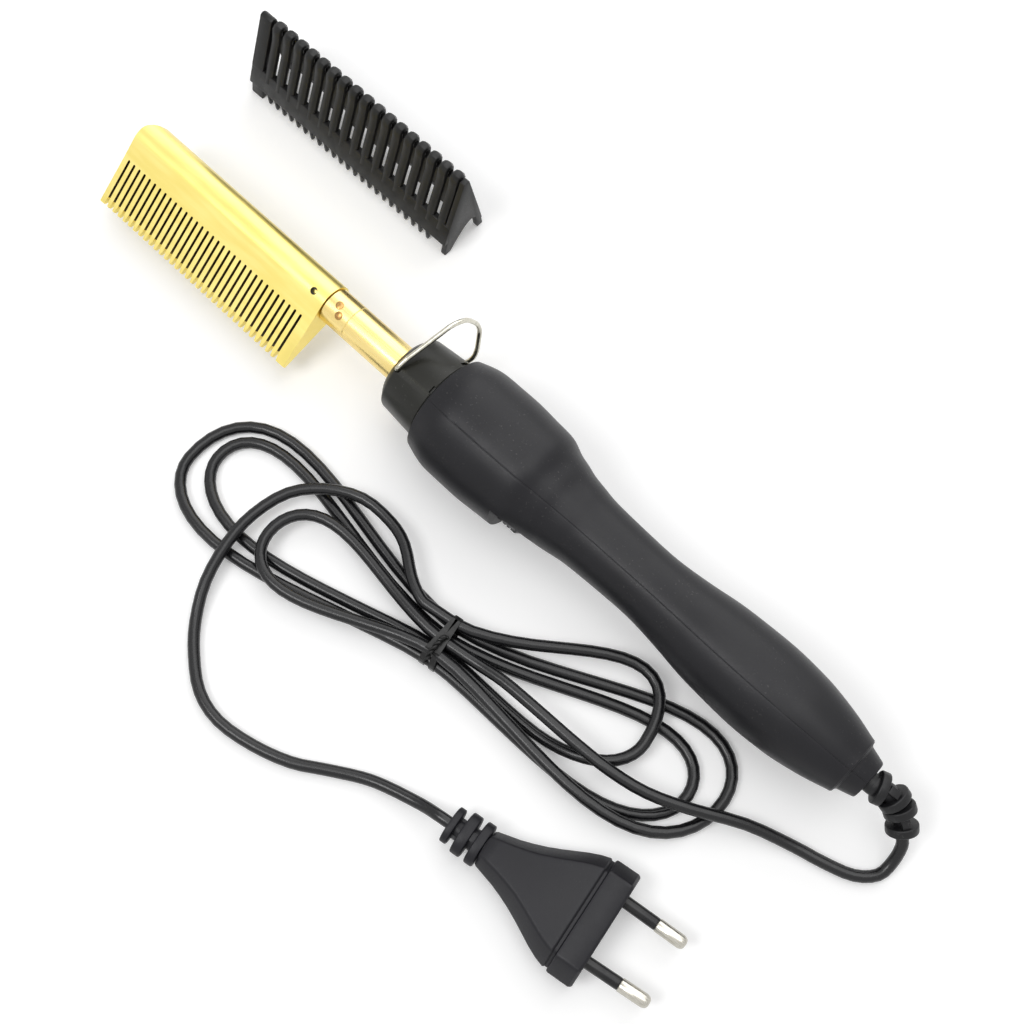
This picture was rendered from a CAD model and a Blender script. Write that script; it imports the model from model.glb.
import math

import bmesh
import bpy
from mathutils import Matrix, Vector


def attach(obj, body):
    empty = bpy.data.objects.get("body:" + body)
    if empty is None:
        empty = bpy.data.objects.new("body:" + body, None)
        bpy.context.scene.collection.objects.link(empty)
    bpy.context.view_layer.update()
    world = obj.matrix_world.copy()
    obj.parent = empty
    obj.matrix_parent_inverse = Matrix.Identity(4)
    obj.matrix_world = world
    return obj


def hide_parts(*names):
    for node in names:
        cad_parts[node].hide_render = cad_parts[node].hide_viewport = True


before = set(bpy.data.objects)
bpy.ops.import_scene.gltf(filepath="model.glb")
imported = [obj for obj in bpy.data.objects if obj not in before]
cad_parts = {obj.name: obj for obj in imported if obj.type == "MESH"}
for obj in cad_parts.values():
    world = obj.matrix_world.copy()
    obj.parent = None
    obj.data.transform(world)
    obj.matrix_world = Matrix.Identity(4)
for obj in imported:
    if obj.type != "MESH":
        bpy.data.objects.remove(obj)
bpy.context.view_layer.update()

# ---------------------------------------------------------------- viewpoint
# A hand-held product camera, looking down on the laid-out set from its near
# right corner. The axes are the camera's right hand and its line of sight.
camera_data = bpy.data.cameras.new("viewpoint")
camera_data.lens = 53.2
camera_data.sensor_width = 36
camera_data.clip_start, camera_data.clip_end = 0.01, 20


def in_scene(name, data):
    made = bpy.data.objects.new(name, data)
    bpy.context.scene.collection.objects.link(made)
    return made


viewpoint = in_scene("viewpoint", camera_data)
right_hand = Vector((0.7223, 0.6916, 0)).normalized()
sight = Vector((-0.2364, 0.2469, -0.9398))
sight = (sight - right_hand * sight.dot(right_hand)).normalized()
turned = Matrix((right_hand, right_hand.cross(sight), -sight)).transposed()
viewpoint.matrix_world = Matrix.Translation((0.12446, -0.13412, 0.41896)) @ turned.to_4x4()
bpy.context.scene.camera = viewpoint
bpy.context.scene.view_settings.view_transform = "Standard"

# ---------------------------------------------------------------- mains lead
# Round two-core mains lead in glossy black PVC, extruded over its cores. One
# length runs from the handle's relief, is folded in six throws of a hank,
# and goes on from the tie to the plug.
MM = 0.001
AXIS_HEIGHT = 18.0386
LEAD_R = 1.75


def moved(x, y=0, z=0):
    return Matrix.Translation((x, y, z))


def rotated(degrees, axis):
    return Matrix.Rotation(math.radians(degrees), 4, axis)


lay_flat = Matrix.Scale(MM, 4) @ moved(-24.75, -18.09492)


def smooth_step(t):
    t = min(1, max(0, t))
    return t * t * (3 - 2 * t)


def eased(points, steps):
    """Points along one smooth curve through all of the given points."""
    out = []
    p = [Vector(q) for q in points]
    for i in range(len(p) - 1):
        before = p[i - 1] if i else 2 * p[0] - p[1]
        after = p[i + 2] if i + 2 < len(p) else 2 * p[-1] - p[-2]
        for k in range(steps):
            t = k / steps
            out.append(0.5 * (2 * p[i] + (p[i + 1] - before) * t
                              + (2 * before - 5 * p[i] + 4 * p[i + 1] - after) * t * t
                              + (3 * p[i] - before - 3 * p[i + 1] + after) * t ** 3))
    return out + [p[-1]]


tie_at, hank_turn = Vector((58, -49)), math.radians(9)
# Where the strands cross the tie, then each throw's reach, its swing out and
# back, and its belly; odd and even throws go to opposite sides.
slot_v = [0, -4, 6, -6, 2, -2, 6]
throws = [(60.3, 27, 24.7, -0.3), (88.9, 37.1, 33.3, 7.2), (95.6, 45.3, 26.8, 3.7),
          (80, 25, 27.2, 5.6), (88.6, 31.9, 26.1, 8.5), (62.5, 20.1, 42, 6.1)]
LAYER, WAIST_LIFT, FAN = 4, 1.2, 1.59
DROP_FROM, DROP_RUN, RISE_FROM, RISE_RUN = 55.5, 44, 33.9, 20.4
WAIST_HALF, WAIST_RUN, ROUTE_STEPS = 6, 18, 36
hank_top = LEAD_R + LAYER + WAIST_LIFT


def hank_place(u, v, z):
    """Place in the set of a point of the hank, along and across it from the tie."""
    c, s = math.cos(hank_turn), math.sin(hank_turn)
    return Vector((tie_at.x + u * c - v * s, tie_at.y + u * s + v * c, z))


def throw_point(k, w):
    """Point of throw k at w degrees of its way out and back."""
    reach, swing_out, swing_back, belly = throws[k]
    way, outward = -1 if k % 2 == 0 else 1, w < 90
    s, q = math.sin(math.radians(w)), smooth_step(w / 180)
    u = way * reach * s
    v = (slot_v[k] * (1 - q) + slot_v[k + 1] * q
         - way * (swing_out if outward else swing_back) * max(s, 0) ** FAN * math.cos(math.radians(w))
         + belly * s * s)
    layer = [1, 1 - smooth_step((abs(u) - DROP_FROM) / DROP_RUN) if outward else 0, 0, 0, 0,
             smooth_step((abs(u) - RISE_FROM) / RISE_RUN) if outward else 1][k]
    lift = WAIST_LIFT * (1 - smooth_step((abs(u) - WAIST_HALF) / WAIST_RUN))
    return hank_place(u, v, LEAD_R + lift + LAYER * layer)


relief_points = [Vector(p) for p in [
    (170, 0, AXIS_HEIGHT), (171.4, 0.2, AXIS_HEIGHT), (175, 1.3, AXIS_HEIGHT - 0.7),
    (179, 1.0, AXIS_HEIGHT - 2.8), (182.4, -0.8, AXIS_HEIGHT - 5.6), (185.2, -3, AXIS_HEIGHT - 8.4)]]
relief_end, relief_dir = relief_points[-1], Vector((0.58, -0.53, -0.62))
lead_route = [relief_end, relief_end + 3 * relief_dir] + [Vector(p) for p in [
    (188.1, -8.6, 4.2), (187.6, -13.5, 2.3), (183, -18, 1.8), (175, -21, 1.8), (166, -23.5, 2.2),
    (153, -28.5, 5.2), (139, -36.5, 7.6), (128, -41.5, 9), (117, -44, 9.8), (105, -45, 9.8),
    (91, -45.5, 9.8), (79, -45.9, 8.7)]] + [hank_place(13, 0, hank_top + 0.3), hank_place(8, 0, hank_top)]
plug_at = moved(144.9, -75.5, 6.85) @ rotated(9.5, "Z")
tail_route = [hank_place(-8, 6, hank_top), hank_place(-12, 6.4, hank_top - 0.1)] + [Vector(p) for p in [
    (38.5, -41.8, 6.7), (30, -36.2, 6.3), (22, -34, 6), (11, -34.5, 5.9), (1, -40, 5.9), (-6, -48.5, 5.9),
    (-8.5, -60, 5.9), (-7.5, -71, 5.9), (-4, -83, 4.4), (2, -93, 2.2), (9, -100, LEAD_R),
    (18, -106, LEAD_R), (28, -108, LEAD_R), (40, -106, LEAD_R), (51, -102, LEAD_R), (59, -97, LEAD_R),
    (68, -91.5, 1.9), (75, -88.5, 2.6)]] + [plug_at @ Vector(p) for p in [
        (-60, 0, -2.6), (-54.5, 0, -0.3), (-50, 0, 0)]]
hank_route = [hank_place(u, 0, hank_top) for u in (8, 6, 4)]
for k in range(len(throws)):
    hank_route += [throw_point(k, 180 * i / ROUTE_STEPS) for i in range(min(k, 1), ROUTE_STEPS + 1)]
hank_route += [hank_place(-4, 6, hank_top), hank_place(-6, 6, hank_top)]
whole_route = eased(lead_route, 3)[:-1] + hank_route + eased(tail_route, 3)
whole_route += [plug_at @ Vector((x, 0, 0)) for x in (-44, -36, -28, -20, -12)]
for p in whole_route:
    p.z = max(p.z, LEAD_R)

lead_curve = bpy.data.curves.new("mains_lead", "CURVE")
lead_curve.dimensions = "3D"
lead_curve.bevel_depth = LEAD_R
lead_curve.bevel_resolution = 6
lead_curve.use_fill_caps = True
strand = lead_curve.splines.new("POLY")
strand.points.add(len(whole_route) - 1)
for point, place in zip(strand.points, whole_route):
    point.co = (*(lay_flat @ place), 1)
    point.radius = MM
mains_lead = in_scene("mains_lead", lead_curve)
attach(mains_lead, "comb")
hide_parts("cord_lead", "cord_hank", "cord_tail")


def effect(name, inputs, outputs):
    """An empty shader group with its named sockets, and its two end nodes."""
    group = bpy.data.node_groups.new(name, "ShaderNodeTree")
    for label, value in inputs:
        socket = group.interface.new_socket(label, in_out="INPUT", socket_type="NodeSocketFloat")
        socket.default_value = value
    for label, kind in outputs:
        group.interface.new_socket(label, in_out="OUTPUT", socket_type=kind)
    return group, group.nodes.new("NodeGroupInput"), group.nodes.new("NodeGroupOutput")


def feed(tree, socket, given):
    """Sets a socket to a number, or links another socket to it."""
    if isinstance(given, (int, float)):
        socket.default_value = given
    else:
        tree.links.new(given, socket)


def noise(group, axes, scale, detail):
    """Noise over Object coordinates stretched by axes; scale is a number or a socket."""
    coords = group.nodes.new("ShaderNodeTexCoord")
    stretch = group.nodes.new("ShaderNodeVectorMath")
    stretch.operation = "MULTIPLY"
    stretch.inputs[1].default_value = axes
    texture = group.nodes.new("ShaderNodeTexNoise")
    texture.inputs["Detail"].default_value = detail
    group.links.new(coords.outputs["Object"], stretch.inputs[0])
    group.links.new(stretch.outputs[0], texture.inputs["Vector"])
    feed(group, texture.inputs["Scale"], scale)
    return texture.outputs["Fac"]


def arithmetic(group, operation, a, b, clamp=False):
    node = group.nodes.new("ShaderNodeMath")
    node.operation = operation
    node.use_clamp = clamp
    feed(group, node.inputs[0], a)
    feed(group, node.inputs[1], b)
    return node.outputs[0]


def ramp(group, value, low, high, floor=0.0, top=1.0):
    """Smooth rise from floor to top, as the value goes from low to high."""
    node = group.nodes.new("ShaderNodeMapRange")
    node.interpolation_type = "SMOOTHSTEP"
    for label, given in (("Value", value), ("From Min", low), ("From Max", high), ("To Min", floor),
                         ("To Max", top)):
        feed(group, node.inputs[label], given)
    return node.outputs["Result"]


EVEN = (1, 1, 1)

# Grain of a moulded or extruded plastic: fine pits with slow waves over them
moulded_grain, ends_in, ends_out = effect(
    "moulded_grain", [("Pit scale", 2600), ("Wave scale", 90)],
    [("Height", "NodeSocketFloat"), ("Waves", "NodeSocketFloat")])
pits = noise(moulded_grain, EVEN, ends_in.outputs["Pit scale"], 3)
waves = noise(moulded_grain, EVEN, ends_in.outputs["Wave scale"], 2)
height = arithmetic(moulded_grain, "ADD", pits, arithmetic(moulded_grain, "MULTIPLY", waves, 0.6))
moulded_grain.links.new(height, ends_out.inputs["Height"])
moulded_grain.links.new(waves, ends_out.inputs["Waves"])

# Dust: sparse pale specks that settle on the upper sides
settled_dust, ends_in, ends_out = effect(
    "settled_dust", [("Speck scale", 1400), ("Cover", 0.1)], [("Mask", "NodeSocketFloat")])
specks = noise(settled_dust, EVEN, ends_in.outputs["Speck scale"], 1)
drifts = noise(settled_dust, EVEN, 60, 2)
facing = settled_dust.nodes.new("ShaderNodeNewGeometry")
upward = settled_dust.nodes.new("ShaderNodeSeparateXYZ")
settled_dust.links.new(facing.outputs["Normal"], upward.inputs[0])
film = ramp(settled_dust, specks, 0.66, 0.74)
for share in (ramp(settled_dust, drifts, 0.42, 0.62), ramp(settled_dust, upward.outputs["Z"], 0.2, 0.9),
              ends_in.outputs["Cover"]):
    film = arithmetic(settled_dust, "MULTIPLY", film, share)
settled_dust.links.new(film, ends_out.inputs["Mask"])

# Rubbed edges: corners that handling has polished, broken up along their run
rubbed_edges, ends_in, ends_out = effect(
    "rubbed_edges", [("Start", 0.52), ("Full", 0.6), ("Break scale", 260)], [("Mask", "NodeSocketFloat")])
corner = rubbed_edges.nodes.new("ShaderNodeNewGeometry")
patches = noise(rubbed_edges, EVEN, ends_in.outputs["Break scale"], 2)
worn = ramp(rubbed_edges, corner.outputs["Pointiness"], ends_in.outputs["Start"], ends_in.outputs["Full"])
rubbed_edges.links.new(arithmetic(rubbed_edges, "MULTIPLY", worn, ramp(rubbed_edges, patches, 0.35, 0.62)),
                       ends_out.inputs["Mask"])


def placed(tree, group, **values):
    node = tree.nodes.new("ShaderNodeGroup")
    node.node_tree = group
    for label, value in values.items():
        node.inputs[label.replace("_", " ")].default_value = value
    return node


def mixed(tree, mask, first, second):
    """Mix by a mask of two ends, each a colour or a socket that carries one."""
    node = tree.nodes.new("ShaderNodeMix")
    node.data_type = "RGBA"
    for label, end in (("A", first), ("B", second)):
        if isinstance(end, bpy.types.NodeSocket):
            tree.links.new(end, node.inputs[label])
        else:
            node.inputs[label].default_value = (*end, 1)
    tree.links.new(mask, node.inputs["Factor"])
    return node.outputs["Result"]


def bumped(tree, shader, height, strength, distance):
    bump = tree.nodes.new("ShaderNodeBump")
    bump.inputs["Strength"].default_value = strength
    bump.inputs["Distance"].default_value = distance
    tree.links.new(height, bump.inputs["Height"])
    tree.links.new(bump.outputs["Normal"], shader.inputs["Normal"])


def coated(tree, shader, colour, gloss):
    tree.links.new(colour, shader.inputs["Base Color"])
    tree.links.new(gloss, shader.inputs["Roughness"])


def new_material(name):
    made = bpy.data.materials.new(name)
    made.use_nodes = True
    return made, made.node_tree, made.node_tree.nodes["Principled BSDF"]


def plastic(name, colour, worn_colour, rough, pit_scale, depth=0.00004, shine=0.3, cover=0.05,
            edge=(0.53, 0.62)):
    """Moulded plastic or PVC: grain in its gloss and normal, rubbed corners, a little dust."""
    made, tree, shader = new_material(name)
    grain = placed(tree, moulded_grain, Pit_scale=pit_scale)
    dust = placed(tree, settled_dust, Cover=cover)
    edges = placed(tree, rubbed_edges, Start=edge[0], Full=edge[1])
    body = mixed(tree, grain.outputs["Waves"], [c * 0.8 for c in colour], [c * 1.25 for c in colour])
    rubbed = mixed(tree, edges.outputs["Mask"], body, worn_colour)
    dusty = mixed(tree, dust.outputs["Mask"], rubbed, (0.5, 0.49, 0.47))
    gloss = ramp(tree, grain.outputs["Height"], 0.3, 1.2, rough - 0.06, rough + 0.08)
    polish = arithmetic(tree, "MULTIPLY", edges.outputs["Mask"], 0.12)
    coated(tree, shader, dusty, arithmetic(tree, "SUBTRACT", gloss, polish))
    bumped(tree, shader, grain.outputs["Height"], 0.5, depth)
    shader.inputs["Specular IOR Level"].default_value = shine
    return made


lead_pvc = plastic("lead_pvc", (0.006, 0.006, 0.007), (0.012, 0.012, 0.013), 0.24, 1500, 0.000012, 0.4,
                   0.03, (0.9, 0.99))
lead_curve.materials.append(lead_pvc)

# ---------------------------------------------------------------- handle's strain relief
# Soft black PVC moulded straight on to the lead: a tapering neck with four
# thick rings, joined across each gap by two short bridges that take turns.


def curve_mesh(points, radii, sides):
    """Mesh of one round strand along points, in millimetres."""
    data = bpy.data.curves.new("strand", "CURVE")
    data.dimensions = "3D"
    data.bevel_depth = 1
    data.bevel_resolution = sides // 4
    data.use_fill_caps = True
    line = data.splines.new("POLY")
    line.points.add(len(points) - 1)
    for i, p in enumerate(points):
        line.points[i].co = (*p, 1)
        line.points[i].radius = radii[i] if isinstance(radii, (list, tuple)) else radii
    holder = in_scene("strand", data)
    evaluated = holder.evaluated_get(bpy.context.evaluated_depsgraph_get())
    mesh = bpy.data.meshes.new_from_object(evaluated)
    bpy.data.objects.remove(holder)
    bpy.data.curves.remove(data)
    return mesh


def loose_mesh(bm):
    mesh = bpy.data.meshes.new("shape")
    bm.to_mesh(mesh)
    bm.free()
    return mesh


def joined(bm, shape, place=None):
    """Adds a shape to bm, moved to its place, and frees it."""
    if isinstance(shape, bmesh.types.BMesh):
        shape = loose_mesh(shape)
    if place is not None:
        shape.transform(place)
    bm.from_mesh(shape)
    bpy.data.meshes.remove(shape)


def settle(bm, name, place, body, nodes, material, crease=35, merge=1e-4):
    """Closes, turns outward and places a shape, and makes it a piece on its body."""
    bmesh.ops.remove_doubles(bm, verts=bm.verts, dist=merge)
    bmesh.ops.dissolve_degenerate(bm, edges=bm.edges, dist=merge)
    bmesh.ops.recalc_face_normals(bm, faces=bm.faces)
    bmesh.ops.transform(bm, matrix=place, verts=bm.verts)
    mesh = bpy.data.meshes.new(name)
    bm.to_mesh(mesh)
    bm.free()
    mesh.shade_smooth()
    mesh.set_sharp_from_angle(angle=math.radians(crease))
    mesh.materials.append(material)
    piece = in_scene(name, mesh)
    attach(piece, body)
    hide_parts(*nodes)
    return piece


def rounded(bm, edges, radius, segments=2, clamp=False):
    bmesh.ops.bevel(bm, geom=list(edges), offset=radius, segments=segments, affect="EDGES", profile=0.5,
                    material=-1, clamp_overlap=clamp)


def rod(bm, radius, length, place=Matrix(), sides=32):
    bmesh.ops.create_cone(bm, cap_ends=True, segments=sides, radius1=radius, radius2=radius, depth=length,
                          matrix=place)


def cuboid(bm, size, place=Matrix()):
    bmesh.ops.create_cube(bm, size=1, matrix=place @ Matrix.Diagonal((*size, 1)))


def disc(bm, place, radius, thick, edge):
    """A round plate about its own X axis, with rounded rims."""
    plate = bmesh.new()
    rod(plate, radius, thick, sides=40)
    rims = [e for e in plate.edges if abs(e.verts[0].co.z - e.verts[1].co.z) < 1e-6]
    rounded(plate, rims, edge, 3)
    joined(bm, plate, place @ rotated(90, "Y"))


def block(bm, place, size, edge, segments=2):
    """A box of the given size with rounded edges."""
    box = bmesh.new()
    cuboid(box, size)
    rounded(box, box.edges, edge, segments)
    joined(bm, box, place)


relief_line = eased([(163.5, 0, AXIS_HEIGHT)] + relief_points, 12)
along = [0.0]
for a, b in zip(relief_line, relief_line[1:]):
    along.append(along[-1] + (b - a).length)


def relief_frame(s):
    """Place and heading at a distance s along the relief's centre line."""
    i = max(j for j in range(len(along) - 1) if along[j] <= s)
    a, b = relief_line[i], relief_line[i + 1]
    p = a.lerp(b, (s - along[i]) / (along[i + 1] - along[i]))
    x = (relief_line[min(i + 2, len(relief_line) - 1)] - relief_line[max(i - 1, 0)]).normalized()
    y = Vector((0, 0, 1)).cross(x).normalized()
    return moved(*p) @ Matrix((x, y, x.cross(y))).transposed().to_4x4()


relief = bmesh.new()
NECK_R, NECK_END_R, NECK_TAPER_FROM, NECK_TAPER = 3.05, 2.05, 6.5, 0.062
neck = [max(NECK_END_R, min(NECK_R, NECK_R - (s - NECK_TAPER_FROM) * NECK_TAPER)) for s in along]
joined(relief, curve_mesh(relief_line, neck, 24))
ring_places, RING_T = [9.0, 14.0, 17.5, 22.9], 2.6
RING_R, RING_STEP, BRIDGE, BRIDGE_OFF = 4.7, 0.05, (3.4, 1.7, 2.4), 3.0
for k, s in enumerate(ring_places):
    disc(relief, relief_frame(s), RING_R - RING_STEP * k, RING_T, 0.45)
    if k:
        mid = relief_frame((s + ring_places[k - 1]) / 2)
        for side in (-1, 1):
            block(relief, mid @ rotated(90 * (k % 2), "X") @ moved(0, side * BRIDGE_OFF), BRIDGE, 0.3)
relief_pvc = plastic("relief_pvc", (0.008, 0.008, 0.009), (0.02, 0.02, 0.021), 0.4, 2200, 0.00003,
                     cover=0.06)
lead_relief = settle(relief, "lead_relief", lay_flat, "comb", ["strain_relief"], relief_pvc)

# ---------------------------------------------------------------- twist tie
# Flat wire tie with a black plastic skin, two turns round the waist of the
# hank, its ends twisted together on top and folded over.
tie_round = bmesh.new()
tie_place = lay_flat @ moved(*tie_at) @ Matrix.Rotation(hank_turn, 4, "Z")
low, grip_gap = WAIST_LIFT, 0.32
TIE_WIDE, TIE_THICK, TIE_APART = 1.8, 0.4, 1.05
tie_outline = [(-4 - LEAD_R * 0.4, low - grip_gap), (6 + LEAD_R * 0.4, low - grip_gap),
               (6 + LEAD_R + grip_gap, low + 0.8), (6 + LEAD_R + grip_gap, hank_top + 0.8),
               (6 + LEAD_R * 0.4, hank_top + LEAD_R + grip_gap),
               (-4 - LEAD_R * 0.2, hank_top + LEAD_R + grip_gap),
               (-4 - LEAD_R - grip_gap, hank_top + 0.4), (-6 - LEAD_R - grip_gap, low + 3.4),
               (-6 - LEAD_R - grip_gap, low + 0.9), (-6 - LEAD_R * 0.4, low - grip_gap)]
for turn_number, slant in ((-1, 0.12), (1, -0.05)):
    ring = [tie_round.verts.new((turn_number * TIE_APART + slant * v, v, z)) for v, z in tie_outline]
    loop = [tie_round.edges.new((ring[i - 1], ring[i])) for i in range(len(ring))]
    wide = bmesh.ops.extrude_edge_only(tie_round, edges=loop)
    bmesh.ops.translate(tie_round, vec=(TIE_WIDE, 0, 0),
                        verts=[g for g in wide["geom"] if isinstance(g, bmesh.types.BMVert)])
bmesh.ops.translate(tie_round, vec=(-TIE_WIDE / 2, 0, 0), verts=tie_round.verts)
round_edges = [e for e in tie_round.edges if abs(e.verts[0].co.x - e.verts[1].co.x) < 1.2]
bmesh.ops.subdivide_edges(tie_round, edges=round_edges, cuts=2, use_grid_fill=True)
bmesh.ops.recalc_face_normals(tie_round, faces=tie_round.faces)
bmesh.ops.solidify(tie_round, geom=list(tie_round.faces), thickness=TIE_THICK)
CORE_R, TWIST = 0.42, 0.8
core = eased([(x, y, hank_top + LEAD_R + z) for x, y, z in (
    (0.9, 1.0, 0.6), (0.3, 0.2, 1.3), (0, -1.5, 1.6), (-0.3, -5, 1.3), (0.3, -8.5, 1.0))], 8)
for half_turn in (0, math.pi):
    turns = [i * TWIST + half_turn for i in range(len(core))]
    strand_line = [p + CORE_R * Vector((math.cos(a), 0, math.sin(a))) for p, a in zip(core, turns)]
    joined(tie_round, curve_mesh(strand_line, CORE_R, 8))
tie_skin = plastic("tie_skin", (0.008, 0.008, 0.008), (0.02, 0.02, 0.02), 0.35, 1800, 0.00003)
hank_tie = settle(tie_round, "hank_tie", tie_place, "comb", ["cord_tie"], tie_skin, 40)

# ---------------------------------------------------------------- plug
# Flat two-pin mains plug, moulded in black PVC round its contacts: a grip
# block behind the face, a waisted six-sided body and a ribbed tail.
plug = bmesh.new()
plug_place = lay_flat @ plug_at


def plug_ring(bm, x, wide, thick, flat):
    """Rounded six-sided outline of the plug at a station behind its face."""
    corners = [(-wide / 2, 0), (-wide / 2 * flat, thick / 2), (wide / 2 * flat, thick / 2),
               (wide / 2, 0), (wide / 2 * flat, -thick / 2), (-wide / 2 * flat, -thick / 2)]
    out = []
    for i in range(6):
        a, b, c = Vector(corners[i - 1]), Vector(corners[i]), Vector(corners[(i + 1) % 6])
        cut = min(0.9, (a - b).length * 0.3, (c - b).length * 0.3)
        p, q = b + (a - b).normalized() * cut, b + (c - b).normalized() * cut
        for t in (0, 0.33, 0.67, 1):
            out.append(p * (1 - t) ** 2 + b * 2 * t * (1 - t) + q * t * t)
    return [bm.verts.new((x, p.x, p.y)) for p in out]


def lofted(bm, stations):
    """Skin over outlines at successive stations, closed at both ends."""
    rings = [plug_ring(bm, *s) for s in stations]
    loops = [[bm.edges.new((r[i - 1], r[i])) for i in range(len(r))] for r in rings]
    for a, b in zip(loops, loops[1:]):
        bmesh.ops.bridge_loops(bm, edges=a + b)
    bm.faces.new(rings[0])
    bm.faces.new(list(reversed(rings[-1])))


lofted(plug, [(-0.05, 33.6, 12.3, 0.735), (-0.3, 34.4, 13.0, 0.735), (-0.9, 35.1, 13.6, 0.735),
              (-7.2, 35.1, 13.6, 0.735), (-7.7, 34.8, 13.3, 0.735), (-7.9, 34.2, 12.7, 0.735),
              (-8.0, 33.2, 12.0, 0.735), (-8.8, 33.2, 12.0, 0.735), (-8.95, 33.6, 12.9, 0.735),
              (-9.4, 34.0, 13.5, 0.735), (-12, 32.4, 13.7, 0.725), (-15, 29.8, 13.6, 0.71),
              (-18, 26.7, 13.5, 0.69), (-21.5, 23.1, 13.1, 0.66), (-25, 19.8, 12.5, 0.62),
              (-28.5, 17.0, 11.7, 0.59), (-32, 14.6, 10.9, 0.56), (-35.5, 12.8, 10.1, 0.53),
              (-38.2, 11.4, 9.4, 0.5), (-38.8, 10.6, 8.6, 0.5)])
tail_line = [Vector((-50.2, 0, 0)), Vector((-46, 0, 0)), Vector((-42, 0, 0)), Vector((-38, 0, 0))]
joined(plug, curve_mesh(tail_line, [2.2, 2.8, 3.3, 3.6], 24))
OVAL = 1.42
for k, (x, r, thick) in enumerate([(-40.5, 4.5, 2.8), (-44.9, 4.4, 3.2), (-49.3, 3.8, 2.2)]):
    disc(plug, moved(x) @ Matrix.Diagonal((1, OVAL, 1, 1)), r, thick, 0.5)
    for side in (-1, 1):
        bridge_at = moved(x + 2.1) @ rotated(90 * (k % 2), "X") @ moved(0, side * (r - 1.5))
        block(plug, bridge_at, (2.6, 1.6, 2.6), 0.25)
plug_pvc = plastic("plug_pvc", (0.0055, 0.0053, 0.0078), (0.02, 0.02, 0.024), 0.44, 2400, 0.00003,
                   cover=0.01)
plug_moulding = settle(plug, "plug_moulding", plug_place, "comb", ["plug_body"], plug_pvc, 28)

# ---------------------------------------------------------------- plug pins
# Turned brass contacts, nickel plated, with a chamfered nose. A black sleeve
# covers the half of each pin by the plug's face.


def turn_profile(bm, outline, steps=48):
    """Spins (station, radius) points about the X axis."""
    verts = [bm.verts.new((x, r, 0)) for x, r in outline]
    edges = [bm.edges.new(pair) for pair in zip(verts, verts[1:])]
    bmesh.ops.spin(bm, geom=verts + edges, cent=(0, 0, 0), axis=(1, 0, 0), angle=2 * math.pi, steps=steps,
                   use_merge=True, use_duplicate=False)


def drawn_metal(name, colour, second, rough, axes, scale, depth=0.00002, spread=0.1):
    """Metal with long fine lines from drawing, brushing or polishing."""
    made, tree, shader = new_material(name)
    lines = noise(tree, axes, scale, 4)
    blotch = noise(tree, EVEN, 45, 2)
    tone = arithmetic(tree, "ADD", arithmetic(tree, "MULTIPLY", lines, 0.55),
                      arithmetic(tree, "MULTIPLY", blotch, 0.45))
    gloss = ramp(tree, lines, 0.3, 0.7, rough - spread / 2, rough + spread / 2)
    coated(tree, shader, mixed(tree, ramp(tree, tone, 0.38, 0.62), colour, second), gloss)
    shader.inputs["Metallic"].default_value = 1
    bumped(tree, shader, lines, 0.35, depth)
    return made


pin_nickel = drawn_metal("pin_nickel", (0.46, 0.44, 0.39), (0.56, 0.54, 0.48), 0.26, (1, 14, 14), 300)
sleeve_nylon = plastic("sleeve_nylon", (0.008, 0.008, 0.009), (0.03, 0.03, 0.03), 0.24, 2600, 0.00002,
                       cover=0.03)
PIN_OFF, PIN_SPLAY = 9.3, 1.2
sleeves = bmesh.new()
for side, pin_name in ((1, "plug_pin_left"), (-1, "plug_pin_right")):
    on_face = moved(0, side * PIN_OFF) @ rotated(-side * PIN_SPLAY, "Z")
    pin = bmesh.new()
    turn_profile(pin, [(-9, 0), (-9, 1.5), (10, 1.5), (10.05, 1.9), (10.2, 1.99), (17.4, 1.99), (18.1, 1.8),
                       (18.6, 1.5), (18.9, 1.0), (19.0, 0.45), (19.0, 0)])
    settle(pin, pin_name + "_nickel", plug_place @ on_face, "comb",
                             [pin_name], pin_nickel, 40)
    sleeve = bmesh.new()
    turn_profile(sleeve, [(-6, 1.52), (-6, 1.78), (9.6, 1.8), (9.9, 1.74), (9.98, 1.66), (9.98, 1.52),
                          (-6, 1.52)])
    joined(sleeves, sleeve, on_face)
settle(sleeves, "pin_sleeves_nylon", plug_place, "comb", ["pin_sleeves"],
                         sleeve_nylon, 40)

# ---------------------------------------------------------------- comb head
# Solid brass bar with a round back, milled to a thin blade; the teeth are
# sawn into it and pointed, and the whole is brushed and gilt.
TILT = 24
comb_place = lay_flat @ moved(0, 0, AXIS_HEIGHT) @ rotated(TILT, "X")
HEAD_X0, HEAD_X1 = -118.2, -35.2
BACK_R, TIP_B, ROOT_B, ROOT_T, TIP_T = 6.3, -24.2, -8.0, 8.8, 1.6
BORE_R, BORE_DEEP, SCREW_IN, CORNER_R = 4.65, 9.8, 4.8, 4


def combined(target, cutter, operation="DIFFERENCE"):
    """Joins or cuts two closed shapes, and returns the result as a new bmesh."""
    holders = []
    for shape in (target, cutter):
        bmesh.ops.remove_doubles(shape, verts=shape.verts, dist=1e-4)
        bmesh.ops.recalc_face_normals(shape, faces=shape.faces)
        holder = in_scene("shape", loose_mesh(shape))
        holders.append(holder)
    modifier = holders[0].modifiers.new("combine", "BOOLEAN")
    modifier.operation = operation
    modifier.object = holders[1]
    modifier.solver = "EXACT"
    bpy.context.view_layer.update()
    evaluated = holders[0].evaluated_get(bpy.context.evaluated_depsgraph_get())
    result = bpy.data.meshes.new_from_object(evaluated)
    out = bmesh.new()
    out.from_mesh(result)
    bpy.data.meshes.remove(result)
    for holder in holders:
        mesh = holder.data
        bpy.data.objects.remove(holder)
        bpy.data.meshes.remove(mesh)
    return out


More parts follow.
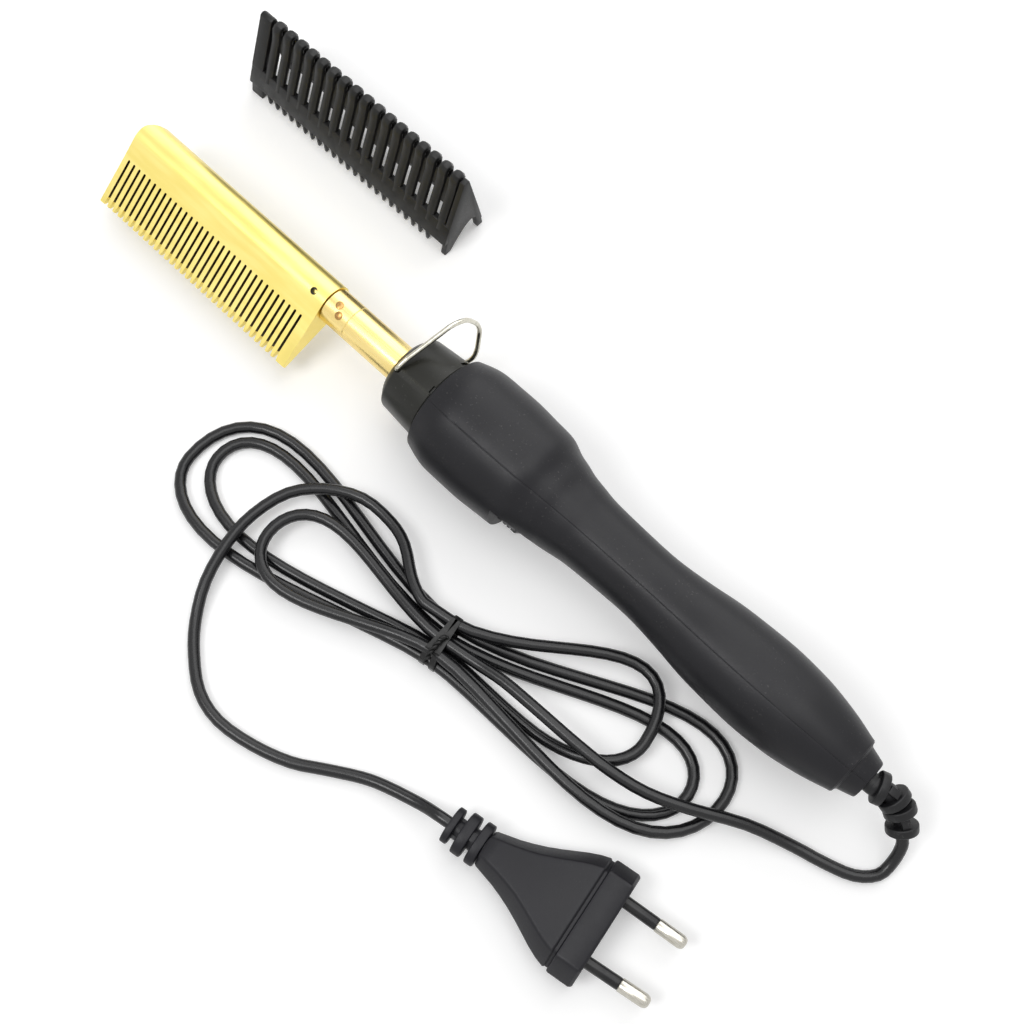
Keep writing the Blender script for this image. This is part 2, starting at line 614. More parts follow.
def extruded(bm, outline, length):
    """Prism of an outline of points, pushed along a vector."""
    face = bm.faces.new([bm.verts.new(p) for p in outline])
    pushed = bmesh.ops.extrude_face_region(bm, geom=[face])["geom"]
    bmesh.ops.translate(bm, vec=length, verts=[g for g in pushed if isinstance(g, bmesh.types.BMVert)])


meet = math.atan2(ROOT_T / 2, ROOT_B) - math.acos(BACK_R / math.hypot(ROOT_B, ROOT_T / 2))
arc = [(BACK_R * math.cos(meet * t / 20), BACK_R * math.sin(meet * t / 20)) for t in range(20, -21, -1)]
fall, root, tip = Vector(arc[0]), Vector((ROOT_B, ROOT_T / 2)), Vector((TIP_B, TIP_T / 2))
ease_a, ease_b = root + (fall - root) * 0.55, root + (tip - root) * 0.2
cheek = [ease_a * (1 - t) ** 2 + root * 2 * t * (1 - t) + ease_b * t * t for t in (0, 0.25, 0.5, 0.75, 1)]
upper = [(p.x, p.y) for p in cheek] + [(TIP_B + 0.25, TIP_T / 2), (TIP_B, TIP_T / 2 - 0.2)]
outline = arc + [(b, -c) for b, c in upper] + [(b, c) for b, c in reversed(upper)]
head = bmesh.new()
extruded(head, [(HEAD_X0, b, c) for b, c in outline], (HEAD_X1 - HEAD_X0, 0, 0))
gaps = bmesh.new()
PITCH, GAP, TIP_GAP, TAPER = 2.39, 0.85, 1.9, 2.6
gap_count, gap_first = 33, HEAD_X0 + 2.4
for i in range(gap_count):
    x, top = gap_first + i * PITCH, ROOT_B - GAP / 2
    notch = [(x - TIP_GAP / 2 - 0.01, TIP_B - 0.5), (x - TIP_GAP / 2 + 0.05, TIP_B),
             (x - GAP / 2 - 0.12, TIP_B + TAPER * 0.6), (x - GAP / 2, TIP_B + TAPER)]
    sixths = [math.pi * j / 6 for j in range(7)]
    round_end = [(x - GAP / 2 * math.cos(a), top + GAP / 2 * math.sin(a)) for a in sixths]
    right_side = [(2 * x - px, py) for px, py in reversed(notch)]
    extruded(gaps, [(px, py, -8) for px, py in notch + round_end + right_side], (0, 0, 16))
bore = bmesh.new()
bore_end = HEAD_X1 - BORE_DEEP
turn_profile(bore, [(bore_end, 0), (bore_end, BORE_R), (HEAD_X1 + 1, BORE_R), (HEAD_X1 + 1, 0)])
joined(gaps, bore)
screw_hole = bmesh.new()
turn_profile(screw_hole, [(1, 0), (1, 1.5), (5.68, 1.5), (5.75, 1.15), (20, 1.15), (20, 0)], 32)
joined(gaps, screw_hole, moved(HEAD_X1 - SCREW_IN) @ rotated(-90, "Y"))
centre_x, centre_b = HEAD_X0 + CORNER_R, BACK_R - CORNER_R
eighths = [math.pi / 2 * j / 8 for j in range(9)]
corner_cut = [(HEAD_X0 - 1, BACK_R + 1), (HEAD_X0 - 1, centre_b)]
corner_cut += [(centre_x - CORNER_R * math.cos(a), centre_b + CORNER_R * math.sin(a)) for a in eighths]
corner_cut.append((centre_x, BACK_R + 1))
extruded(gaps, [(x, b, -8) for x, b in corner_cut], (0, 0, 16))
head = combined(head, gaps)
gilt = drawn_metal("gilt_brushed", (0.90, 0.74, 0.22), (0.93, 0.78, 0.27), 0.34, (1, 9, 9), 60, 0.000003,
                   0.06)
comb_blade = settle(head, "comb_blade", comb_place, "comb", ["comb_head"], gilt, 30, 1e-3)
# The saw's cuts aren't brushed, and stay dark
comb_blade.data.materials.append(drawn_metal("gap_patina", (0.07, 0.045, 0.016), (0.16, 0.10, 0.035), 0.5,
                                             EVEN, 400))
to_comb = comb_place.inverted()
for face in comb_blade.data.polygons:
    centre = to_comb @ face.center
    across = (to_comb.to_3x3() @ face.normal).normalized()
    in_gap = HEAD_X0 + 1 < centre.x < HEAD_X1 - 1 and TIP_B + TAPER < centre.y < ROOT_B + 0.1
    if in_gap and abs(across.z) < 0.5:
        face.material_index = 1
soften = comb_blade.modifiers.new("broken edges", "BEVEL")
soften.width, soften.segments, soften.limit_method = 0.00012, 2, "ANGLE"
soften.angle_limit = math.radians(40)

# ---------------------------------------------------------------- shank tube and rivets
# Drawn brass tube, polished, with a turned shoulder by the head and four
# small domed rivets that hold it to the heater's sleeve.
tube = bmesh.new()
TUBE_R = 5.8
turn_profile(tube, [(HEAD_X1 + x, r) for x, r in (
    (-9.7, 3.6), (-9.7, 4.6), (-0.02, 4.6), (0.02, 5.1), (0.4, TUBE_R), (9.2, TUBE_R), (9.4, TUBE_R - 0.12),
    (9.6, TUBE_R))] + [(23.2, TUBE_R), (23.2, 7.5), (24.4, 7.5), (24.4, 3.6), (HEAD_X1 - 9.7, 3.6)], 96)
tube_brass = drawn_metal("tube_brass", (0.86, 0.66, 0.25), (0.91, 0.73, 0.31), 0.27, (1, 14, 14), 42,
                         0.000003, 0.06)
settle(tube, "brass_shank", comb_place, "comb", ["shank_tube"], tube_brass, 30)
rivets = bmesh.new()
for x, angle in ((HEAD_X1 + 4.2, -18), (HEAD_X1 + 6, 7), (HEAD_X1 + 4.2, 162), (HEAD_X1 + 6, 187)):
    dome = bmesh.new()
    turn_profile(dome, [(3.7, 0), (3.7, 0.8)] + [(TUBE_R + up, r) for up, r in (
        (-0.05, 0.8), (-0.05, 1.28), (0.1, 1.25), (0.22, 1.0), (0.3, 0.6), (0.34, 0))], 24)
    joined(rivets, dome, rotated(angle, "X") @ moved(x) @ rotated(-90, "Y"))
rivet_brass = drawn_metal("rivet_brass", (0.34, 0.18, 0.06), (0.50, 0.30, 0.11), 0.34, (4, 4, 4), 500)
settle(rivets, "shank_rivet_domes", comb_place, "comb", ["shank_rivets"], rivet_brass, 40)

# ---------------------------------------------------------------- nose collar
# Heat-proof black moulding that carries the tube and the stand's pivots. It
# snaps into the shells; two notches at its edge let a blade release it.
COLLAR_X, JOINT_X, PIVOT_A = -4.6, 10.8, -2.0
collar = bmesh.new()
nose = [(COLLAR_X + x, r) for x, r in ((0, 6.1), (0, 9.5), (0.1, 9.75), (0.5, 10.3), (2.0, 12.2),
                                       (2.5, 12.4))]
nose += [(JOINT_X + x, r) for x, r in ((-1.5, 13.45), (-0.35, 13.58), (-0.05, 13.4), (0, 13.2), (0, 11.6))]
nose += [(16, 11.6), (16, 12.4), (18, 12.4), (18, 11.6), (20, 11.6), (20, 8.05), (0, 8.05), (0, 6.1),
         (COLLAR_X, 6.1)]
turn_profile(collar, nose, 112)
cuts = bmesh.new()
rod(cuts, 0.93, 40, moved(PIVOT_A))
for x, angle, wide in ((JOINT_X - 0.9, -10, 2.4), (JOINT_X - 1.6, -74, 3.4)):
    cuboid(cuts, (1.2, wide, 2), rotated(angle, "X") @ moved(x + 0.5, 0, 13.7))
collar = combined(collar, cuts)
collar_resin = plastic("collar_resin", (0.008, 0.008, 0.0052), (0.028, 0.028, 0.02), 0.34, 2800, 0.00002,
                       0.35)
settle(collar, "nose_moulding", comb_place, "comb", ["nose_collar"], collar_resin, 30, 1e-3)

# ---------------------------------------------------------------- wire stand
# Spring steel wire, nickel plated, bent into a leaning loop whose two ends
# turn in through the collar, so that it folds forward over the tube.
HALF_W, STAND_H, LEAN = 13.7, 23.6, math.radians(10.4)


def lean(b, c, bow=0):
    return Vector((PIVOT_A + b * math.sin(LEAN) + bow * math.cos(LEAN),
                   b * math.cos(LEAN) - bow * math.sin(LEAN), c))


leg = eased([lean(1.5, HALF_W), lean(4.5, HALF_W), lean(9, HALF_W - 1.1),
             lean(STAND_H * 0.64, HALF_W - 2.5), lean(STAND_H * 0.83, HALF_W - 3.9),
             lean(STAND_H * 0.97, HALF_W - 8), lean(STAND_H, 0),
             lean(STAND_H * 0.985, -HALF_W + 8.2), lean(STAND_H * 0.9, -HALF_W + 4, 1),
             lean(STAND_H * 0.64, -HALF_W + 1.2, 4.2), lean(7.5, -HALF_W + 0.1, 1.4), lean(4, -HALF_W, 0.2),
             lean(1.5, -HALF_W)], 6)
bends = [(0, 6.4), (0, HALF_W - 1.5), (0.05, HALF_W - 1.15), (0.16, HALF_W - 0.8), (0.38, HALF_W - 0.42),
         (0.75, HALF_W - 0.13), (1.1, HALF_W - 0.03)]
wire_line = [lean(b, c) for b, c in bends] + leg + [lean(b, -c) for b, c in reversed(bends)]
stand = bmesh.new()
joined(stand, curve_mesh(wire_line, 0.76, 16))
wire_steel = drawn_metal("wire_steel", (0.50, 0.48, 0.40), (0.68, 0.66, 0.57), 0.2, (1, 1, 1), 700)
settle(stand, "stand_loop", comb_place, "stand", ["stand_wire"], wire_steel, 50)

# ---------------------------------------------------------------- handle shells
# Two half shells, injection moulded in black heat-proof plastic with a satin
# texture. They meet along the comb's flat and are drawn together by screws.
WALL, LIP = 2.2, 0.1
HANDLE, BULGE, BULGE_END, WAIST, WAIST_X = 152.9, 18, 22.2, 10.6, 81.2
SWELL, SWELL_X, BUTT = 13.9, 121.2, 9.2


def run_between(shares, x0, r0, x1, r1):
    return [(x0 + (x1 - x0) * p, r0 + (r1 - r0) * q) for p, q in shares]


grip = [(1, 15.9), (5.5, BULGE - 0.7), (9.2, BULGE - 0.1), (15.2, BULGE), (BULGE_END, BULGE)]
grip += run_between([(0.12, 0.07), (0.235, 0.15), (0.315, 0.405), (0.383, 0.554), (0.44, 0.69), (0.52, 0.8),
                     (0.61, 0.905), (0.81, 0.98)], BULGE_END, BULGE, WAIST_X, WAIST)
grip.append((WAIST_X, WAIST))
grip += run_between([(0.275, 0.3), (0.52, 0.7), (0.75, 0.9)], WAIST_X, WAIST, SWELL_X, SWELL)
grip += [(SWELL_X, SWELL)] + run_between([(0.28, 0.085), (0.495, 0.234), (0.776, 0.596)], SWELL_X, SWELL,
                                         HANDLE - 1.4, BUTT) + [(HANDLE - 1.4, BUTT)]
grip = [(p.x, p.y) for p in eased([(x, r, 0) for x, r in grip], 4)]


def inside(x):
    """Inner radius of the handle at a station along the comb."""
    x -= JOINT_X
    for (xa, ra), (xb, rb) in zip(grip, grip[1:]):
        if x <= xb:
            return ra + (rb - ra) * (x - xa) / (xb - xa) - WALL
    return BUTT - WALL


BUTT_X, END_X = JOINT_X + HANDLE, JOINT_X + HANDLE + 5.3
outer = [(JOINT_X, 13.75), (JOINT_X + 0.15, 14.1)] + [(JOINT_X + x, r) for x, r in grip]
outer += [(BUTT_X - 0.5, 9.0), (BUTT_X - 0.1, 8.6), (BUTT_X, 7.9), (BUTT_X + 0.4, 7.4), (END_X - 0.6, 6.1)]
outer += [(END_X - 0.15, 5.8), (END_X, 5.3)]
hollow = [(JOINT_X + x, r - WALL) for x, r in grip if 11.4 < x < HANDLE - 8.5]
rear = JOINT_X + HANDLE - 8.5
inner = [(JOINT_X, 11.65), (15.95, 11.65), (15.95, 12.45), (18.05, 12.45), (18.05, 11.65), (20.4, 11.65)]
inner += [(20.4, hollow[0][1])] + hollow + [(rear, hollow[-1][1])]
inner += [(rear, 1.85), (157.95, 1.85), (157.95, 4.45), (160.55, 4.45), (160.55, 3.15), (END_X, 3.15)]


def half_shell(side):
    """One shell: its wall's outline spun through half a turn, with a fine lip along the seam."""
    bm = bmesh.new()
    start = math.radians(-90 if side > 0 else 90)
    loop = outer + inner[::-1]
    verts = [bm.verts.new((x, r * math.cos(start), r * math.sin(start))) for x, r in loop]
    face = bm.faces.new(verts)
    bmesh.ops.spin(bm, geom=[face] + list(face.edges) + verts, cent=(0, 0, 0), axis=(1, 0, 0),
                   angle=math.pi, steps=72, use_merge=False, use_duplicate=False)
    bm.verts.ensure_lookup_table()
    bmesh.ops.recalc_face_normals(bm, faces=bm.faces)
    flats = [f for f in bm.faces if len(f.verts) > 20]
    skin = {(round(x, 3), round(r, 3)) for x, r in outer}
    seam = [e for f in flats for e in f.edges
            if all((round(v.co.x, 3), round(math.hypot(v.co.y, v.co.z), 3)) in skin for v in e.verts)]
    rounded(bm, seam, LIP)
    return bm


def post_across(bm, x, b0, b1, r, sides=32):
    """Round post or hole square to the seam, from b0 to b1."""
    rod(bm, r, b1 - b0, moved(x, (b0 + b1) / 2) @ rotated(90, "X"), sides)


POST_X = (JOINT_X + 19.2, JOINT_X + 87.2, JOINT_X + 119.2)
FACET_X, FACET_B, SWITCH_X, LENS_X, SLOT_LEN, SLOT_W = 45.0, 12.4, 53.0, 70.0, 11.6, 4.0
shell_plastic = plastic("shell_plastic", (0.006, 0.0058, 0.0078), (0.022, 0.022, 0.026), 0.40, 2200,
                        0.00003, cover=0.06)
spine = half_shell(1)
posts = bmesh.new()
for x in POST_X:
    post_across(posts, x, 0.02, inside(x) + 0.6, 2.6)
spine = combined(spine, posts, "UNION")
screw_bores = bmesh.new()
for x in POST_X:
    post_across(screw_bores, x, -1, inside(x) - 1, 1.15, 20)
spine = combined(spine, screw_bores)
settle(spine, "shell_spine_side", comb_place, "comb", ["handle_shell_spine"], shell_plastic,
       30, 1e-3)

teeth_side = half_shell(-1)
floor_body = bmesh.new()
floor_run = [(JOINT_X + x, r - 0.6) for x, r in grip if 32.1 < x < 55.2]
turn_profile(floor_body, [(FACET_X - WALL, 0)] + floor_run + [(66, 0)], 96)
bmesh.ops.remove_doubles(floor_body, verts=floor_body.verts, dist=1e-4)
everything = list(floor_body.verts) + list(floor_body.edges) + list(floor_body.faces)
bmesh.ops.bisect_plane(floor_body, geom=everything, plane_co=(0, -FACET_B + WALL, 0), plane_no=(0, 1, 0),
                       clear_outer=True)
bmesh.ops.holes_fill(floor_body, edges=[e for e in floor_body.edges if e.is_boundary], sides=0)
teeth_side = combined(teeth_side, floor_body, "UNION")
posts = bmesh.new()
for x in POST_X:
    post_across(posts, x, -inside(x) - 0.6, -0.02, 3.2)
teeth_side = combined(teeth_side, posts, "UNION")
openings = bmesh.new()
cuboid(openings, (24, 20, 40), moved(FACET_X + 12, -FACET_B - 10))
teeth_side = combined(teeth_side, openings)
openings = bmesh.new()
block(openings, moved(SWITCH_X, -14), (SLOT_LEN, 9.5, SLOT_W), 0.5, 3)
post_across(openings, LENS_X, -20, -5, 1.6)
for x in POST_X:
    post_across(openings, x, -30, 1, 1.25, 20)
    post_across(openings, x, -31, -inside(x) + 0.8, 2.15)
teeth_side = combined(teeth_side, openings)
settle(teeth_side, "shell_teeth_side", comb_place, "comb", ["handle_shell_teeth"],
       shell_plastic, 30, 1e-3)

# ---------------------------------------------------------------- slide switch knob
# Small moulded knob, black, with three grip grooves across it and a stem
# that goes down through its slot into the switch.
SLIDE_X = SWITCH_X - SLOT_LEN / 2 + 1.8
knob = bmesh.new()
block(knob, moved(SLIDE_X, -FACET_B - 1.05), (7.0, 1.5, 5.5), 0.35, 3)
grooves = bmesh.new()
for i in (-1, 0, 1):
    block(grooves, moved(SLIDE_X + i * 1.5, -FACET_B - 1.8), (0.6, 1.0, 8), 0.2)
knob = combined(knob, grooves)
stem_top, stem_foot = -FACET_B - 0.4, -7.8
block(knob, moved(SLIDE_X, (stem_top + stem_foot) / 2), (3, stem_foot - stem_top, 3.4), 0.15)
block(knob, moved(SLIDE_X, -FACET_B + WALL + 0.7), (6.8, 0.8, 6), 0.15)
knob_plastic = plastic("knob_plastic", (0.02, 0.02, 0.022), (0.06, 0.06, 0.06), 0.32, 2600, 0.00002, 0.35)
settle(knob, "switch_knob", comb_place, "slider", ["switch_slider"], knob_plastic, 35)

# ---------------------------------------------------------------- indicator lens
# Clear red dome over the lamp, pushed into the shell from inside and held
# by its flange.


def glassy(name, colour, rough, clear):
    made, tree, shader = new_material(name)
    ripple = noise(tree, EVEN, 900, 1)
    coated(tree, shader, mixed(tree, ripple, [c * 0.85 for c in colour], colour),
           ramp(tree, ripple, 0.3, 0.7, rough, rough + 0.05))
    shader.inputs["Transmission Weight"].default_value = clear
    shader.inputs["IOR"].default_value = 1.49
    return made


lens = bmesh.new()
lens_out, lens_in = -inside(LENS_X) - WALL - 0.1, -inside(LENS_X) + 1
dome = [(lens_out + x, r) for x, r in ((0, 0), (0.03, 0.5), (0.14, 1.0), (0.35, 1.4), (0.6, 1.54))]
turn_profile(lens, dome + [(lens_in - 0.65, 1.54), (lens_in - 0.65, 2.24), (lens_in, 2.24), (lens_in, 0)], 40)
bmesh.ops.transform(lens, verts=lens.verts,
                    matrix=moved(LENS_X) @ rotated(90, "Z"))
red_lens = glassy("red_lens", (0.62, 0.02, 0.015), 0.06, 0.6)
settle(lens, "indicator_dome", comb_place, "comb", ["indicator_lens"], red_lens, 35)

# ---------------------------------------------------------------- clip-on guard comb
# One black polypropylene moulding, an inverted V that clips over the teeth:
# rounded ribs over its crown with webs between them, rails along both feet
# and a row of short teeth.
guard = bmesh.new()
ATT_X0, ATT_LEN, ATT_H, ATT_W, RAIL_H, RIB_R = -119.5, 89.0, 30.0, 17.0, 6.0, 1.3
TEETH_REACH, LAID_APART, APEX_IN, EDGE_IN, FAR_LOW = 23.8, 63, 11, 1.4, 5
ATT_X1 = ATT_X0 + ATT_LEN
ATT_Y0 = LAID_APART - TEETH_REACH * math.cos(math.radians(TILT))
ATT_Y1, APEX = ATT_Y0 + ATT_W, ATT_Y0 + APEX_IN
crown_z = ATT_H - RIB_R


def near_wall(z):
    return ATT_Y0 + EDGE_IN + (APEX - ATT_Y0 - EDGE_IN) * (z - RAIL_H) / (crown_z - RAIL_H)


def far_wall(z):
    return ATT_Y1 - EDGE_IN + (APEX - ATT_Y1 + EDGE_IN) * (z - FAR_LOW) / (crown_z - FAR_LOW)


def prism(bm, section, x0, x1, edge=0.35):
    """Bar of a section in the Y-Z plane, with softened edges."""
    bar = bmesh.new()
    extruded(bar, [(x0, y, z) for y, z in section], (x1 - x0, 0, 0))
    bmesh.ops.recalc_face_normals(bar, faces=bar.faces)
    rounded(bar, bar.edges, edge, clamp=True)
    joined(bm, bar)


shoulder_z, RIB_STEP, RIB_WIDER, PANEL = crown_z - 5, 4.83, 1.42, 5.2
over_crown = [(0, APEX + y, crown_z + z) for y, z in ((-0.9, -0.6), (0.3, -0.02), (1.3, -1))]
rib_line = eased([(0, near_wall(z), z) for z in (RAIL_H + 3, 15, shoulder_z)] + over_crown
                 + [(0, far_wall(z), z) for z in (shoulder_z, 14, 6)], 2)
rib_count = math.floor((ATT_LEN - PANEL - 4) / RIB_STEP)
rib_first, rib_last = ATT_X0 + PANEL + RIB_R + 1.1, ATT_X1 - RIB_R * RIB_WIDER - 0.1
ribs = [min(rib_first + i * RIB_STEP, rib_last) for i in range(rib_count + 1)]
web_z, web_y, LONG_LOW, SHORT_LOW, ALL_LONG = crown_z - 2.2, near_wall(crown_z - 2.2), 21.0, 17.5, 3
for i, x in enumerate(ribs):
    joined(guard, curve_mesh(rib_line, RIB_R, 12), moved(x) @ Matrix.Diagonal((RIB_WIDER, 1, 1, 1)))
    if i < rib_count:
        low_z = SHORT_LOW if i > ALL_LONG and i % 2 else LONG_LOW
        low_y = near_wall(low_z)
        prism(guard, [(low_y - 0.1, low_z), (web_y - 0.1, web_z), (web_y + 0.9, web_z - 0.4),
                      (low_y + 0.9, low_z - 0.3)], x + 0.3, ribs[i + 1] - 0.3, 0.15)
foot_near, foot_far = near_wall(RAIL_H + 6), far_wall(10)
prism(guard, [(ATT_Y0, RAIL_H - 0.6), (ATT_Y0 + 2.4, RAIL_H - 0.6), (foot_near + 1.2, RAIL_H + 5.6),
              (foot_near - 1.2, RAIL_H + 6.2)], ATT_X0 + 0.1, ATT_X1 - 0.05)
prism(guard, [(ATT_Y1 - 2.6, 3), (ATT_Y1, 3), (far_wall(8) + 1.1, 8), (far_wall(8) - 1.1, 8)],
      ATT_X0 + 0.1, ATT_X1 - 0.05)
FINE_STEP, FINE_LONG = 3.28, 5.4
fine_count = math.floor((ATT_LEN - 12) / FINE_STEP)
for i in range(fine_count):
    x = ATT_X0 + (ATT_LEN - (fine_count - 1) * FINE_STEP) / 2 + i * FINE_STEP
    block(guard, moved(x, ATT_Y0 + 1.0, RAIL_H - FINE_LONG / 2), (0.95, 1.3, FINE_LONG), 0.18)
prism(guard, [(ATT_Y0, 0), (ATT_Y0 + 2.6, 0), (foot_near + 1.4, RAIL_H + 6), (APEX - 0.6, ATT_H - 5.5),
              (foot_far - 1.2, 10), (ATT_Y1 - 2.8, 0), (ATT_Y1, 0), (foot_far + 1.3, 10),
              (APEX + 1.4, ATT_H - 0.9), (APEX + 0.3, ATT_H), (APEX - 1, ATT_H - 0.4),
              (foot_near - 1.4, RAIL_H + 6)], ATT_X0, ATT_X0 + PANEL, 0.5)
prism(guard, [(ATT_Y0 + 0.3, 0.2), (ATT_Y0 + 2.6, 0.2), (foot_near + 1.2, RAIL_H + 6), (foot_far - 1.2, 10),
              (ATT_Y1 - 2.8, 0.2), (ATT_Y1 - 0.2, 0.2), (APEX + 1.2, ATT_H - 1.2), (APEX - 1, ATT_H - 0.8)],
      ATT_X0 + 0.2, ATT_X0 + 2, 0.2)
arch = [(ATT_Y0 + y, z) for y, z in ((0, 0), (2.6, 0), (4.2, 1.8), (6, 3.6), (9, 6.2), (10.6, 7.1), (12, 7.5),
                                     (13.2, 7.1), (14, 6.4))]
arch += [(ATT_Y1 - 2.8, 3.4), (ATT_Y1 - 2.4, 0), (ATT_Y1, 0), (far_wall(9) + 1.1, 9),
         (APEX + 1.3, ATT_H - 1.2), (APEX - 1, ATT_H - 1), (foot_near - 1.2, RAIL_H + 6)]
prism(guard, arch, ATT_X1 - 2, ATT_X1, 0.3)
guard_plastic = plastic("guard_plastic", (0.005, 0.005, 0.005), (0.02, 0.02, 0.02), 0.4, 2400, 0.00003)
settle(guard, "guard_comb", lay_flat, "guard", ["comb_attachment"], guard_plastic, 35)

# ---------------------------------------------------------------- screws
# Zinc-black case screws in their wells, the clamp's two screws and the
# cup-point screw that holds the head on its tube.


def dress(names, material):
    """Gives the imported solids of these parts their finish."""
    for part in names:
        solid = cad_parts[part]
        solid.data.materials.clear()
        solid.data.materials.append(material)


dress(["handle_screws", "clamp_screws"],
      drawn_metal("screw_zinc", (0.16, 0.16, 0.17), (0.28, 0.28, 0.29), 0.32, EVEN, 1500))
dress(["grub_screw"],
      drawn_metal("black_oxide", (0.02, 0.019, 0.018), (0.045, 0.042, 0.04), 0.42, EVEN, 900))

# ---------------------------------------------------------------- heater
# A ceramic rod with its winding, in a drawn steel sheath that slides into
# the bore; glass-sleeved leads run back through a fuse to the board.
dress(["heater_sheath"],
      drawn_metal("sheath_steel", (0.45, 0.44, 0.43), (0.60, 0.58, 0.55), 0.35, (1, 12, 12), 260))


def fired(name, colour, speck, rough):
    """Fired ceramic or pressed mica: cloudy colour with dark flecks."""
    made, tree, shader = new_material(name)
    grain = placed(tree, moulded_grain, Pit_scale=1800, Wave_scale=220)
    flecks = ramp(tree, grain.outputs["Height"], 0.86, 1.0)
    gloss = ramp(tree, grain.outputs["Waves"], 0.3, 0.7, rough, rough + 0.12)
    coated(tree, shader, mixed(tree, flecks, colour, speck), gloss)
    bumped(tree, shader, grain.outputs["Height"], 0.4, 0.00005)
    return made


dress(["heater_core"], fired("core_ceramic", (0.80, 0.77, 0.68), (0.6, 0.55, 0.45), 0.55))
dress(["thermal_fuse"], fired("fuse_ceramic", (0.22, 0.20, 0.18), (0.12, 0.11, 0.10), 0.5))
dress(["heat_bush"], fired("bush_mica", (0.50, 0.42, 0.30), (0.72, 0.66, 0.52), 0.48))


def woven(name, colour, dark, pitch, rough):
    """Braided sleeving: crossed ribs set over the run."""
    made, tree, shader = new_material(name)
    coords = tree.nodes.new("ShaderNodeTexCoord")
    heights = []
    for lean_way in (1, -1):
        ribs_wave = tree.nodes.new("ShaderNodeTexWave")
        ribs_wave.bands_direction = "X"
        ribs_wave.inputs["Scale"].default_value = pitch
        slant = math.radians(45 * lean_way)
        turned_ribs = tree.nodes.new("ShaderNodeMapping")
        turned_ribs.inputs["Rotation"].default_value = (0, slant, slant)
        tree.links.new(coords.outputs["Object"], turned_ribs.inputs["Vector"])
        tree.links.new(turned_ribs.outputs["Vector"], ribs_wave.inputs["Vector"])
        heights.append(ribs_wave.outputs["Fac"])
    cross = arithmetic(tree, "MAXIMUM", *heights)
    coated(tree, shader, mixed(tree, cross, dark, colour), ramp(tree, cross, 0, 1, rough + 0.15, rough))
    bumped(tree, shader, cross, 0.6, 0.0001)
    return made


dress(["heater_leads"], woven("glass_sleeve", (0.78, 0.76, 0.70), (0.5, 0.47, 0.4), 400, 0.7))

# ---------------------------------------------------------------- switch, board and lamp
# Slide switch with a dark moulded case, soldered under a small green board
# with a rectifier, a resistor and the red lamp that shines up to the lens.
for part, material_name, colour, worn_colour, rough in (
        ("switch_body", "switch_case", (0.03, 0.03, 0.032), (0.08, 0.08, 0.08), 0.4),
        ("board_parts", "component_resin", (0.03, 0.026, 0.022), (0.07, 0.06, 0.05), 0.35)):
    dress([part], plastic(material_name, colour, worn_colour, rough, 2600, 0.00003, cover=0.1))
dress(["indicator_led"], glassy("lamp_red", (0.5, 0.02, 0.015), 0.12, 0.35))
board_glass, board_tree, board_shader = new_material("board_glass")
tracks = board_tree.nodes.new("ShaderNodeTexVoronoi")
tracks.distance = "MANHATTAN"
tracks.feature = "DISTANCE_TO_EDGE"
tracks.inputs["Scale"].default_value = 260
board_coords = board_tree.nodes.new("ShaderNodeTexCoord")
board_tree.links.new(board_coords.outputs["Object"], tracks.inputs["Vector"])
copper = ramp(board_tree, tracks.outputs["Distance"], 0.06, 0.09, 1, 0)
coated(board_tree, board_shader, mixed(board_tree, copper, (0.012, 0.10, 0.03), (0.03, 0.20, 0.06)),
       ramp(board_tree, copper, 0, 1, 0.35, 0.25))
dress(["circuit_board"], board_glass)

# ---------------------------------------------------------------- inner wiring
# Brown insulated cores crimped in white nylon to the lead's own cores; the
# lead's end is held down on its saddle by a screwed clamp.
for part, material_name, colour, worn_colour, rough, pit_scale in (
        ("inner_leads", "core_brown", (0.12, 0.05, 0.02), (0.16, 0.08, 0.04), 0.4, 1500),
        ("crimp_sleeves", "crimp_nylon", (0.72, 0.72, 0.70), (0.8, 0.8, 0.78), 0.42, 1800)):
    dress([part], plastic(material_name, colour, worn_colour, rough, pit_scale, 0.00003))
dress(["cord_stub"], lead_pvc)
dress(["cord_clamp"], plastic("clamp_plastic", (0.05, 0.05, 0.05), (0.1, 0.1, 0.1), 0.45, 2200, cover=0.1))

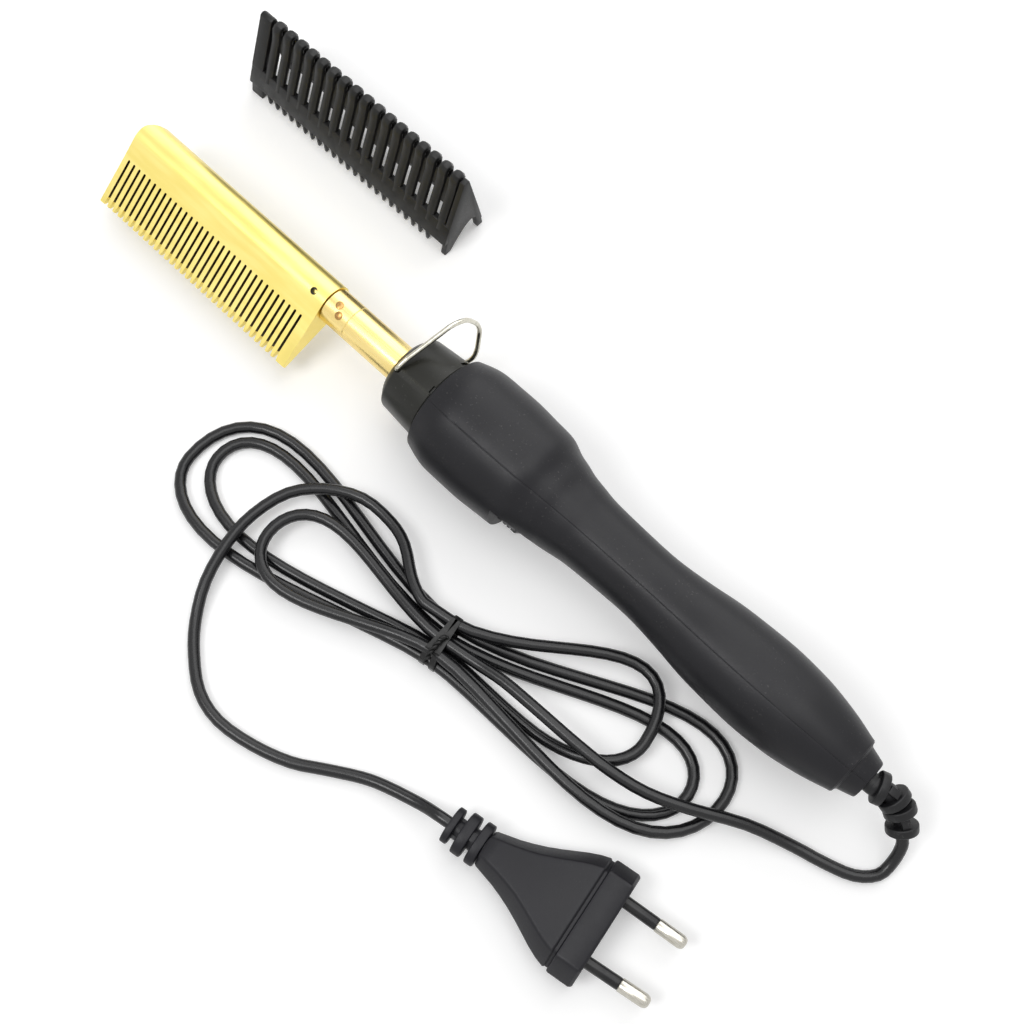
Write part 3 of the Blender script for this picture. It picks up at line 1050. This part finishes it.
# ---------------------------------------------------------------- table and light
# White seamless paper under large soft lamps. Camera, mirror and clear rays
# see it a little brighter, so that it comes out white and keeps the shadow.


def seen_by(tree):
    """One for camera, mirror and clear rays, nought for the rest."""
    rays = tree.nodes.new("ShaderNodeLightPath")
    seen = arithmetic(tree, "ADD", rays.outputs["Is Camera Ray"], rays.outputs["Is Glossy Ray"], True)
    return arithmetic(tree, "ADD", seen, rays.outputs["Is Transmission Ray"], True)


paper = bmesh.new()
bmesh.ops.create_grid(paper, x_segments=1, y_segments=1, size=4)
sheet_mesh = bpy.data.meshes.new("paper")
paper.to_mesh(sheet_mesh)
paper.free()
table = in_scene("paper", sheet_mesh)
white_paper, paper_tree, paper_shader = new_material("white_paper")
paper_shader.inputs["Base Color"].default_value = (0.86, 0.86, 0.86, 1)
paper_shader.inputs["Roughness"].default_value = 0.9
paper_shader.inputs["Specular IOR Level"].default_value = 0.1
paper_glow = arithmetic(paper_tree, "MULTIPLY", seen_by(paper_tree), 0.24)
paper_tree.links.new(paper_glow, paper_shader.inputs["Emission Strength"])
paper_shader.inputs["Emission Color"].default_value = (1, 1, 1, 1)
sheet_mesh.materials.append(white_paper)

sky = bpy.data.worlds.new("studio")
bpy.context.scene.world = sky
sky.use_nodes = True
sky_tree = sky.node_tree
room_light = sky_tree.nodes["Background"]
room_light.inputs["Color"].default_value = (1, 1, 1, 1)
SEEN_MORE, LIT_LEVEL = 0.75, 0.25
seen_level = arithmetic(sky_tree, "MULTIPLY", seen_by(sky_tree), SEEN_MORE)
level = arithmetic(sky_tree, "ADD", seen_level, LIT_LEVEL)
sky_tree.links.new(level, room_light.inputs["Strength"])
for lamp, place, size, power in (("window", (-0.3, 1.05, 0.95), 1.3, 9),
                                 ("front", (-0.25, -0.72, 1.2), 0.5, 6),
                                 ("overhead", (0.15, 0.1, 1.5), 1.1, 8)):
    data = bpy.data.lights.new(lamp, "AREA")
    data.size, data.energy = size, power
    light = in_scene(lamp, data)
    towards_part = (-Vector(place)).to_track_quat("-Z", "Y")
    light.matrix_world = moved(*place) @ towards_part.to_matrix().to_4x4()
